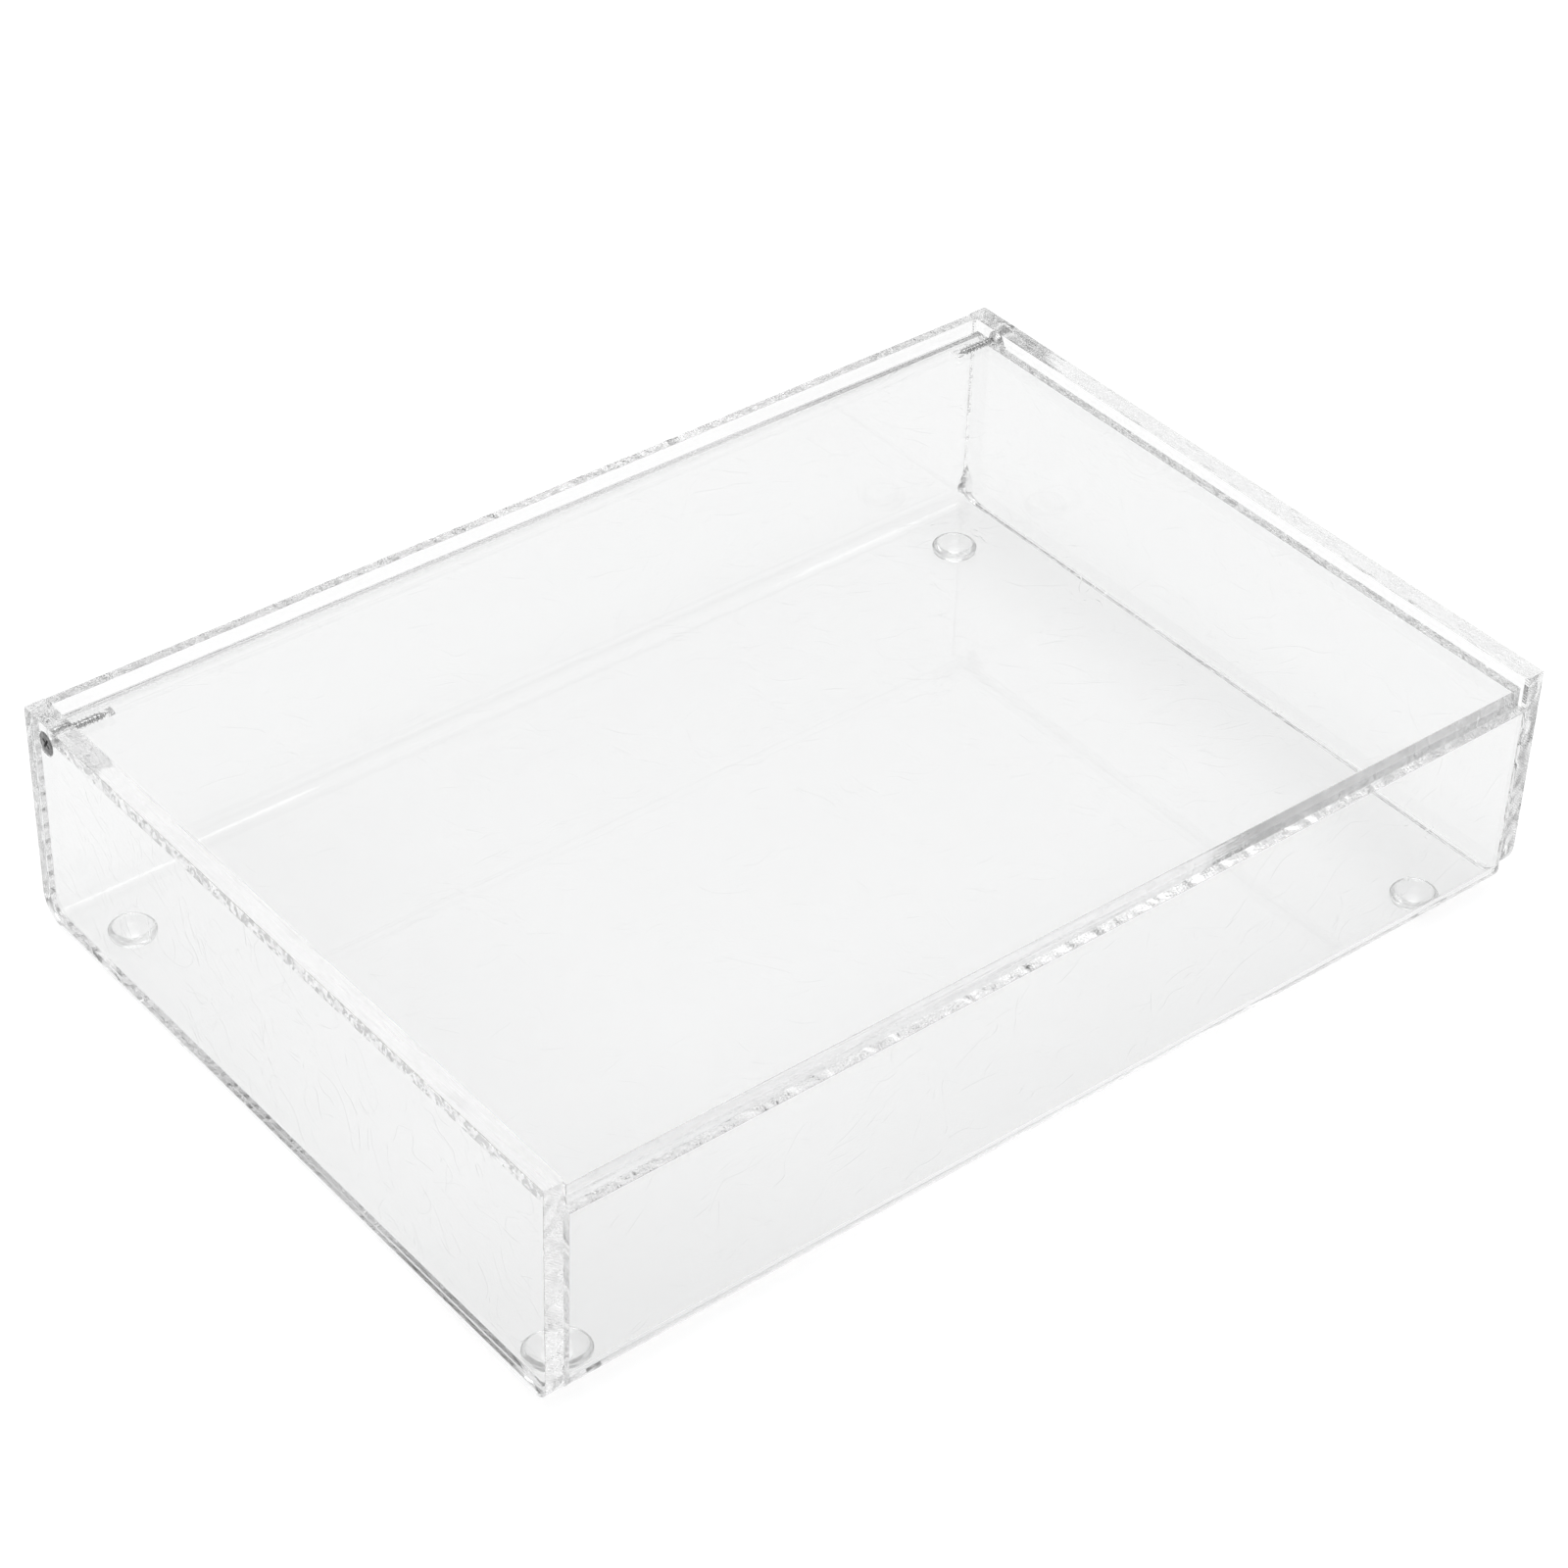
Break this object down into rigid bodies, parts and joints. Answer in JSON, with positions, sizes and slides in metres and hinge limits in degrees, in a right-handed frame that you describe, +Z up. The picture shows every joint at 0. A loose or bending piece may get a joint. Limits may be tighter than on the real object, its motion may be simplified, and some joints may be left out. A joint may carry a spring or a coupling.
{
  "type": "lidded letter tray",
  "caption": "Shallow clear acrylic letter tray with a bent-sheet body, cemented side panels, a flat lid hinged on two screws at the back and domed bumper feet.",
  "frame": {"origin": "on the table under the middle of the bounding box, at the feet's undersides", "axes": "+X to the right as seen from the front, +Y from the front to the hinge at the back, +Z up"},
  "size_m": [0.334, 0.2314, 0.0744],
  "materials": {
    "clear_acrylic": "clear, polished faces and sawn edges",
    "zinc_steel": "bright zinc plated",
    "clear_bumper": "clear soft polyurethane",
    "foot_adhesive": "clear pressure-sensitive adhesive"
  },
  "bodies": {
    "tray": {"bent_sheet_body": "clear_acrylic", "side_panel_left": "clear_acrylic", "side_panel_right": "clear_acrylic", "bumper_foot_front_left": "clear_bumper", "foot_adhesive_front_left": "foot_adhesive", "bumper_foot_front_right": "clear_bumper", "foot_adhesive_front_right": "foot_adhesive", "bumper_foot_back_left": "clear_bumper", "foot_adhesive_back_left": "foot_adhesive", "bumper_foot_back_right": "clear_bumper", "foot_adhesive_back_right": "foot_adhesive"},
    "lid": {"lid_panel": "clear_acrylic", "hinge_screw_left": "zinc_steel", "hinge_screw_right": "zinc_steel"}
  },
  "joints": [
    {"name": "lid_hinge", "type": "hinge", "parent": "tray", "child": "lid", "pos_m": [0, 0.1056, 0.06822], "axis": [-1, 0, 0], "range_deg": [0, 115]}
  ]
}
